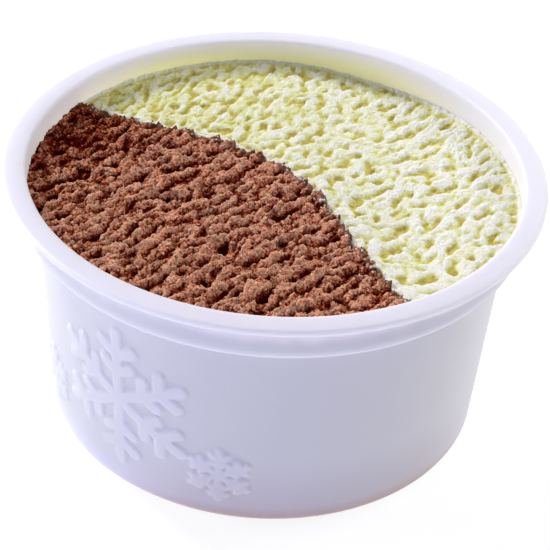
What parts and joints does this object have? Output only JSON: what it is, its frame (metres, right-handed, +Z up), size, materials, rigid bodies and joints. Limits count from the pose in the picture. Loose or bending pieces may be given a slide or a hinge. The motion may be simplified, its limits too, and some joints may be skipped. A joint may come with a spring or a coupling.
{
  "type": "gelato cup",
  "caption": "Stepped white plastic tub with a flat rim, filled to just under the rim with chocolate and vanilla ice cream side by side.",
  "frame": {"origin": "centre of the base, on the plane the cup stands on", "axes": "+Z up along the cup's axis; -Y is the front, where the seam between the flavours runs from back left to front right"},
  "size_m": [0.09, 0.09, 0.0454],
  "materials": {
    "cup_plastic": "milky white moulded polypropylene, satin",
    "chocolate_ice_cream": "torn, crumbly chocolate ice cream, moist sheen on its lumps",
    "vanilla_ice_cream": "torn vanilla ice cream, near white with yellow pits, moist sheen"
  },
  "bodies": {
    "root": {"cup": "cup_plastic", "chocolate_ice_cream": "chocolate_ice_cream", "vanilla_ice_cream": "vanilla_ice_cream"}
  },
  "joints": []
}
